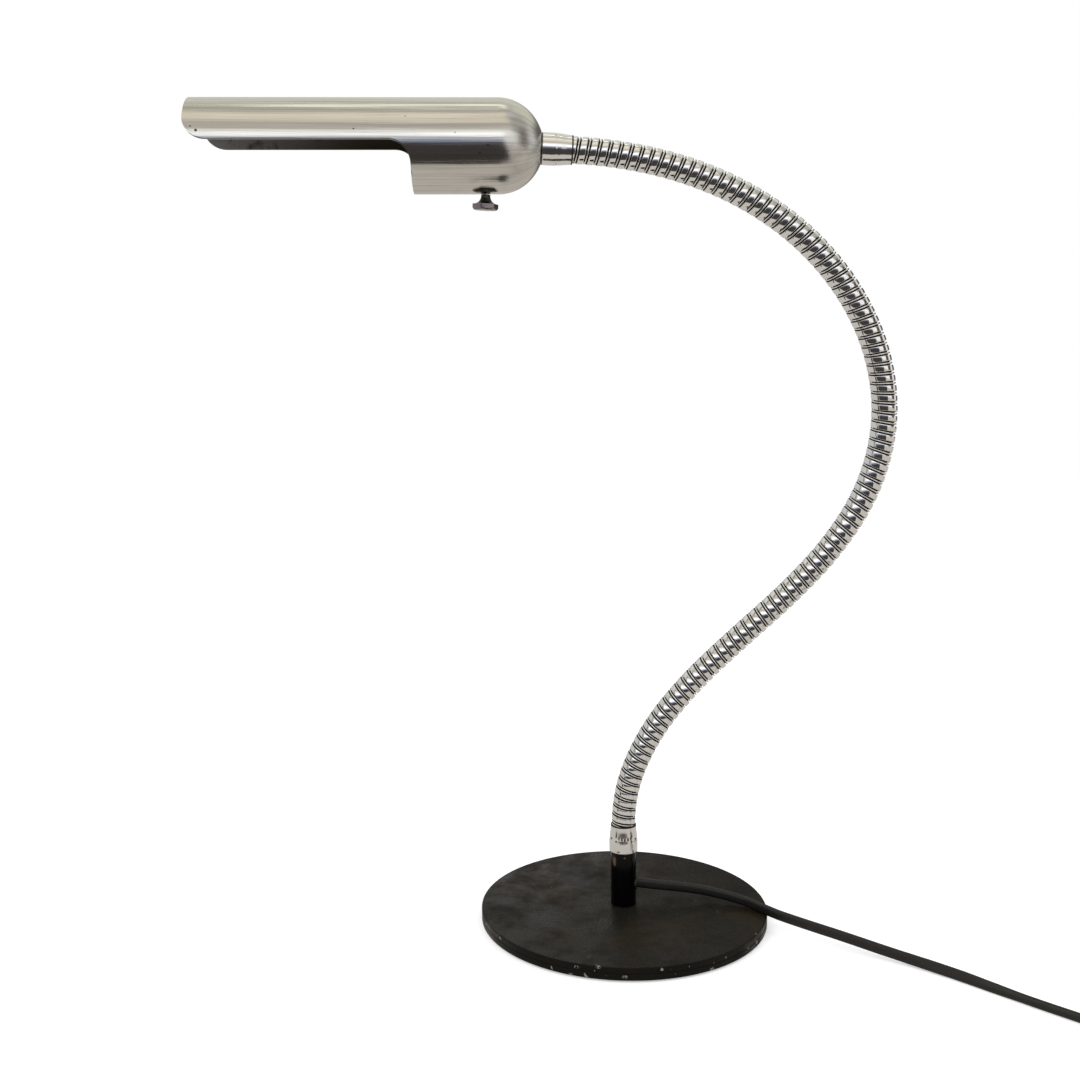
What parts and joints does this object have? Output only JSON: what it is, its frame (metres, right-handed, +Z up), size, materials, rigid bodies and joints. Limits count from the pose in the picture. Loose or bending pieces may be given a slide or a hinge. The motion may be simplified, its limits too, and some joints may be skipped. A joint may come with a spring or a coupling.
{
  "type": "gooseneck desk lamp",
  "caption": "Desk lamp with a round weighted base, a flexible metal gooseneck and a polished half-open tubular shade with a rotary switch.",
  "frame": {"origin": "centre of the base's underside, on the table", "axes": "+Z up; -X the way the shade points; +X the side the neck bulges to and the cord leaves; -Y towards the front"},
  "size_m": [0.5994, 0.2534, 0.4945],
  "materials": {
    "wrinkle_black": "matt wrinkle",
    "gloss_black": "gloss",
    "felt": "felt",
    "chrome": "polished",
    "polished_aluminium": "brushed and polished",
    "zinc_steel": "zinc plated",
    "brass": "plain",
    "bakelite": "moulded",
    "ceramic": "unglazed",
    "knob_metal": "polished",
    "cord_pvc": "satin",
    "rubber": "matt",
    "plug_plastic": "satin"
  },
  "bodies": {
    "base": {"base_top_plate": "wrinkle_black", "base_weight_plate": "wrinkle_black", "base_felt_pad": "felt", "base_screws": "zinc_steel", "post": "gloss_black", "post_bush": "brass", "post_nipple": "zinc_steel", "post_washer": "zinc_steel", "post_nut": "zinc_steel", "cord_grommet": "rubber", "cord_anchor": "plug_plastic", "lower_coupling": "zinc_steel", "lower_ferrule": "chrome", "neck_section_1": "chrome", "neck_lead": "cord_pvc", "mains_cord": "cord_pvc", "cord_coil": "cord_pvc", "coil_tie": "plug_plastic", "plug_lead": "cord_pvc", "plug_body": "plug_plastic", "plug_pins": "brass"},
    "neck_1": {"neck_section_2": "chrome"},
    "neck_2": {"neck_section_3": "chrome"},
    "neck_3": {"neck_section_4": "chrome"},
    "neck_4": {"neck_section_5": "chrome"},
    "neck_5": {"neck_section_6": "chrome"},
    "neck_6": {"neck_section_7": "chrome"},
    "neck_7": {"neck_section_8": "chrome"},
    "neck_8": {"neck_section_9": "chrome"},
    "neck_9": {"neck_section_10": "chrome"},
    "neck_10": {"neck_section_11": "chrome"},
    "neck_11": {"neck_section_12": "chrome"},
    "neck_12": {"neck_section_13": "chrome"},
    "neck_13": {"neck_section_14": "chrome", "upper_ferrule": "chrome", "upper_coupling": "zinc_steel"},
    "shade": {"head_nipple": "zinc_steel", "nipple_lock_nut": "zinc_steel", "shade_washer": "chrome", "shade": "polished_aluminium", "shade_hood": "polished_aluminium", "inner_washer": "zinc_steel", "inner_nut": "zinc_steel", "holder_cap": "bakelite", "holder_sleeve": "bakelite", "contact_disc": "ceramic", "screw_shell": "brass", "centre_contact": "brass", "side_contact": "brass", "terminal_screws": "brass", "switch_block": "bakelite", "switch_bush": "brass"},
    "knob": {"switch_spindle": "zinc_steel", "switch_knob": "knob_metal"}
  },
  "joints": [
    {"name": "neck_bend_1", "type": "hinge", "parent": "base", "child": "neck_1", "pos_m": [0.00792, -0.00007, 0.10005], "axis": [0.0007, 1, 0.0035], "range_deg": [-12, 8], "deforming": ["neck_lead"]},
    {"name": "neck_lean_2", "type": "hinge", "parent": "neck_1", "child": "neck_2", "pos_m": [0.02832, -0.00036, 0.13513], "axis": [0.7905, 0.0026, -0.6125], "range_deg": [-15, 15], "deforming": ["neck_lead"]},
    {"name": "neck_bend_3", "type": "hinge", "parent": "neck_2", "child": "neck_3", "pos_m": [0.05539, -0.001, 0.16548], "axis": [0.0118, 0.9998, 0.0181], "range_deg": [-12, 8], "deforming": ["neck_lead"]},
    {"name": "neck_bend_4", "type": "hinge", "parent": "neck_3", "child": "neck_4", "pos_m": [0.08483, -0.00216, 0.19356], "axis": [0.0225, 0.9993, 0.0284], "range_deg": [-12, 8], "deforming": ["neck_lead"]},
    {"name": "neck_bend_5", "type": "hinge", "parent": "neck_4", "child": "neck_5", "pos_m": [0.11328, -0.004, 0.22258], "axis": [0.0355, 0.9985, 0.0416], "range_deg": [-6, 14], "deforming": ["neck_lead"]},
    {"name": "neck_lean_6", "type": "hinge", "parent": "neck_5", "child": "neck_6", "pos_m": [0.13704, -0.00667, 0.25542], "axis": [0.8661, -0.0123, -0.4996], "range_deg": [-15, 15], "deforming": ["neck_lead"]},
    {"name": "neck_bend_7", "type": "hinge", "parent": "neck_6", "child": "neck_7", "pos_m": [0.15125, -0.01015, 0.29321], "axis": [0.0576, 0.9948, 0.0838], "range_deg": [-6, 14], "deforming": ["neck_lead"]},
    {"name": "neck_bend_8", "type": "hinge", "parent": "neck_7", "child": "neck_8", "pos_m": [0.15192, -0.01416, 0.33349], "axis": [0.0581, 0.992, 0.1121], "range_deg": [-6, 14], "deforming": ["neck_lead"]},
    {"name": "neck_bend_9", "type": "hinge", "parent": "neck_8", "child": "neck_9", "pos_m": [0.13926, -0.01835, 0.37177], "axis": [0.0488, 0.9889, 0.1401], "range_deg": [-6, 14], "deforming": ["neck_lead"]},
    {"name": "neck_lean_10", "type": "hinge", "parent": "neck_9", "child": "neck_10", "pos_m": [0.11621, -0.02254, 0.40491], "axis": [0.7405, -0.1339, 0.6585], "range_deg": [-15, 15], "deforming": ["neck_lead"]},
    {"name": "neck_bend_11", "type": "hinge", "parent": "neck_10", "child": "neck_11", "pos_m": [0.08559, -0.02665, 0.43126], "axis": [0.0069, 0.9825, 0.1863], "range_deg": [-12, 16], "deforming": ["neck_lead"]},
    {"name": "neck_bend_12", "type": "hinge", "parent": "neck_11", "child": "neck_12", "pos_m": [0.04983, -0.03066, 0.4501], "axis": [-0.0225, 0.9792, 0.2018], "range_deg": [-12, 16], "deforming": ["neck_lead"]},
    {"name": "neck_bend_13", "type": "hinge", "parent": "neck_12", "child": "neck_13", "pos_m": [0.01104, -0.03464, 0.46158], "axis": [-0.0557, 0.9758, 0.2116], "range_deg": [-12, 16], "deforming": ["neck_lead"]},
    {"name": "shade_swivel", "type": "hinge", "parent": "neck_13", "child": "shade", "pos_m": [-0.0472, -0.04064, 0.46735], "axis": [-0.9935, -0.1036, 0.0465], "range_deg": [-90, 90], "deforming": ["neck_lead"]},
    {"name": "switch_turn", "type": "hinge", "parent": "shade", "child": "knob", "pos_m": [-0.07893, -0.04049, 0.43898], "axis": [-0.0578, 0.1093, -0.9923], "continuous": true}
  ],
  "couplings": [
    {"joint": "neck_bend_3", "follows": "neck_bend_1", "ratio": 1},
    {"joint": "neck_bend_4", "follows": "neck_bend_1", "ratio": 1},
    {"joint": "neck_bend_7", "follows": "neck_bend_5", "ratio": 1},
    {"joint": "neck_bend_8", "follows": "neck_bend_5", "ratio": 1},
    {"joint": "neck_bend_9", "follows": "neck_bend_5", "ratio": 1},
    {"joint": "neck_bend_12", "follows": "neck_bend_11", "ratio": 1},
    {"joint": "neck_bend_13", "follows": "neck_bend_11", "ratio": 1}
  ]
}
